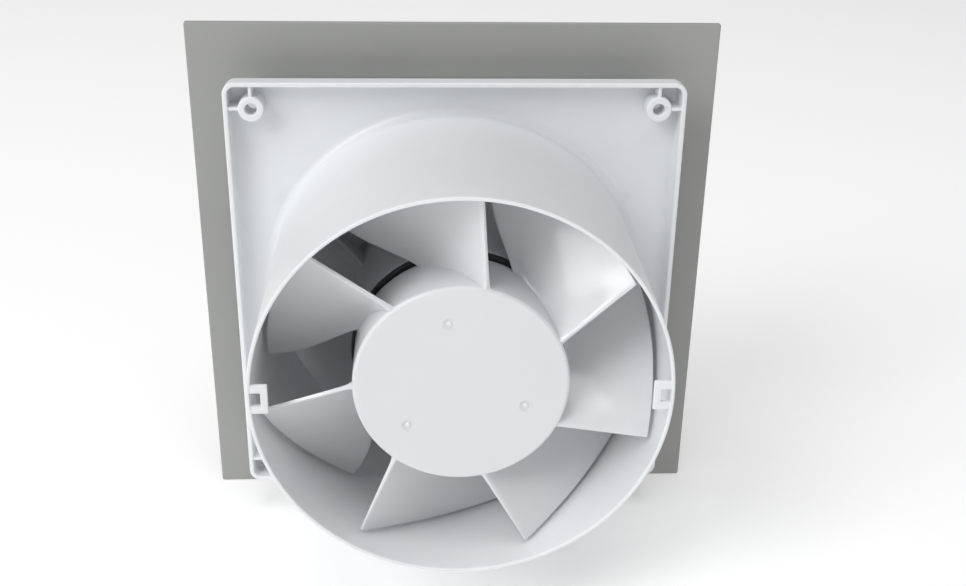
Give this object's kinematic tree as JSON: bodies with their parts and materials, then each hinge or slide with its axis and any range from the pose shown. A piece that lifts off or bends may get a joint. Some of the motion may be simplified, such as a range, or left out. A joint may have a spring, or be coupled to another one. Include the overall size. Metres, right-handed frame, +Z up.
{
  "type": "bathroom extractor fan",
  "caption": "Slim axial bathroom extractor fan: square casing with a round duct spigot, shaded-pole motor on an arm bracket, bladed impeller and a flat pull-off decor panel.",
  "frame": {"origin": "on the spigot's axis, in the wall plane that the casing's rear rim touches", "axes": "+Y along the spigot into the duct, -Y into the room, +Z up, +X to the right as seen from the room"},
  "size_m": [0.175, 0.0934, 0.175],
  "materials": {
    "white_abs": "satin moulded ABS with a fine grain",
    "white_impeller": "satin moulded plastic",
    "grey_panel": "satin grey sheet",
    "black_rubber": "matt moulded rubber",
    "lamination": "stacked electrical steel, edges showing",
    "enamelled_copper": "wound enamelled copper wire",
    "copper": "bare copper bar",
    "die_cast": "die-cast, unpolished",
    "bronze": "sintered bronze, oiled",
    "steel": "zinc-plated and turned steel",
    "nylon": "natural nylon",
    "foam_tape": "closed-cell foam tape",
    "brown_wire": "PVC wire insulation",
    "blue_wire": "PVC wire insulation",
    "natural_polyamide": "natural polyamide"
  },
  "bodies": {
    "housing": {"base_casing": "white_abs", "motor_bracket": "white_abs", "terminal_cover": "white_abs", "cable_clamp": "white_abs", "damping_ring": "black_rubber", "cable_grommet": "black_rubber", "stator_stack": "lamination", "stator_coil_1": "enamelled_copper", "stator_coil_2": "enamelled_copper", "stator_coil_3": "enamelled_copper", "stator_coil_4": "enamelled_copper", "shading_ring_1": "copper", "shading_ring_2": "copper", "shading_ring_3": "copper", "shading_ring_4": "copper", "front_end_bracket": "die_cast", "rear_end_bracket": "die_cast", "front_bush": "bronze", "rear_bush": "bronze", "bracket_screw_1": "steel", "bracket_screw_2": "steel", "bracket_screw_3": "steel", "motor_screw_1": "steel", "motor_screw_2": "steel", "motor_screw_3": "steel", "stack_bolt_1": "steel", "stack_bolt_2": "steel", "stack_bolt_3": "steel", "stack_bolt_4": "steel", "terminal_screw_1": "steel", "terminal_screw_2": "steel", "terminal_screw_3": "steel", "terminal_screw_4": "steel", "clamp_screw_1": "steel", "clamp_screw_2": "steel", "cover_screw": "steel", "motor_lead_live": "brown_wire", "motor_lead_neutral": "blue_wire", "terminal_block": "natural_polyamide"},
    "impeller": {"impeller": "white_impeller", "impeller_clamp_ring": "steel", "shaft": "steel", "rotor": "lamination", "front_thrust_washer": "nylon", "rear_thrust_washer": "nylon", "shaft_clip": "steel"},
    "front_panel": {"front_panel": "grey_panel", "panel_carrier": "white_abs", "adhesive_pad_1": "foam_tape", "adhesive_pad_2": "foam_tape", "adhesive_pad_3": "foam_tape", "adhesive_pad_4": "foam_tape"}
  },
  "joints": [
    {"name": "impeller_spin", "type": "hinge", "parent": "housing", "child": "impeller", "pos_m": [0, 0, 0], "axis": [0, 1, 0], "continuous": true},
    {"name": "panel_pull", "type": "slide", "parent": "housing", "child": "front_panel", "axis": [0, -1, 0], "range_m": [0, 0.03]}
  ]
}
